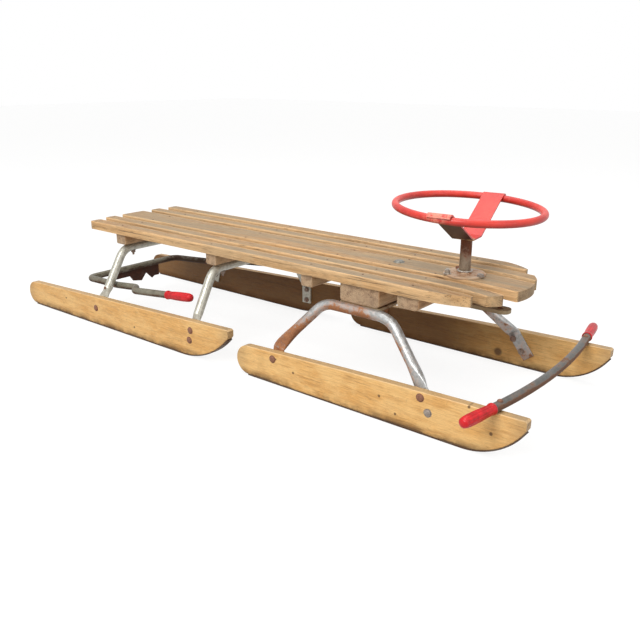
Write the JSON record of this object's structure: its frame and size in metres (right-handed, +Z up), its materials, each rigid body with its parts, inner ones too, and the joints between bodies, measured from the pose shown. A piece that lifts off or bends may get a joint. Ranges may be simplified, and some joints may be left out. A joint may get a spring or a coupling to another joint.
{
  "type": "steerable sled",
  "caption": "Low wooden bobsled with a slatted deck, fixed rear runners, a front truck steered by a wheel, a bowed foot bar and a hand brake with a toothed blade.",
  "frame": {"origin": "on the ground, under the middle of the sled's bounding box", "axes": "+X forward to the nose, +Y to the left-hand side, +Z up"},
  "size_m": [1.646, 0.6812, 0.4371],
  "materials": {
    "deck_wood": "weathered, unpainted softwood",
    "batten_wood": "greyed, unpainted wood",
    "runner_wood": "worn varnish over golden wood",
    "grey_tube": "dull galvanised tube",
    "rusty_steel": "brown rust over bare steel",
    "silver_tube": "worn silver finish with rust patches",
    "sole_steel": "scuffed, dirty steel strip",
    "red_paint": "faded red paint, chipped",
    "red_plastic": "glossy red grip"
  },
  "bodies": {
    "sled": {"deck_slat_right_outer": "deck_wood", "deck_slat_right_inner": "deck_wood", "deck_slat_centre": "deck_wood", "deck_slat_left_inner": "deck_wood", "deck_slat_left_outer": "deck_wood", "batten_rear": "batten_wood", "batten_second": "batten_wood", "batten_third": "batten_wood", "batten_front": "batten_wood", "bolster": "batten_wood", "rear_arch_back": "grey_tube", "rear_arch_front": "grey_tube", "rear_runner_right": "runner_wood", "rear_runner_left": "runner_wood", "rear_shoe_right": "sole_steel", "rear_shoe_left": "sole_steel", "kingpin": "rusty_steel", "column_flange": "rusty_steel", "brake_pivot_right": "rusty_steel", "brake_pivot_left": "rusty_steel"},
    "front_truck": {"truck_plate": "rusty_steel", "tongue": "rusty_steel", "front_arch_right": "silver_tube", "front_arch_left": "silver_tube", "front_runner_right": "runner_wood", "front_runner_left": "runner_wood", "front_shoe_right": "sole_steel", "front_shoe_left": "sole_steel", "foot_bar": "silver_tube", "foot_grip_right": "red_plastic", "foot_grip_left": "red_plastic"},
    "steering": {"wheel_rim": "red_paint", "wheel_spoke": "red_paint", "steering_column": "rusty_steel", "steering_crank": "rusty_steel"},
    "brake": {"brake_lever": "grey_tube", "brake_blade": "rusty_steel", "brake_grip_right": "red_plastic", "brake_grip_left": "red_plastic"}
  },
  "joints": [
    {"name": "truck_turn", "type": "hinge", "parent": "sled", "child": "front_truck", "pos_m": [0.386, 0, 0.2], "axis": [0, 0, 1], "range_deg": [-20, 20]},
    {"name": "wheel_turn", "type": "hinge", "parent": "sled", "child": "steering", "pos_m": [0.555, 0, 0.3], "axis": [0, 0, 1], "range_deg": [-60, 60]},
    {"name": "brake_pull", "type": "hinge", "parent": "sled", "child": "brake", "pos_m": [-0.45589, 0, 0.107], "axis": [0, -1, 0], "range_deg": [0, 20]}
  ],
  "couplings": [
    {"joint": "wheel_turn", "follows": "truck_turn", "ratio": 3}
  ]
}
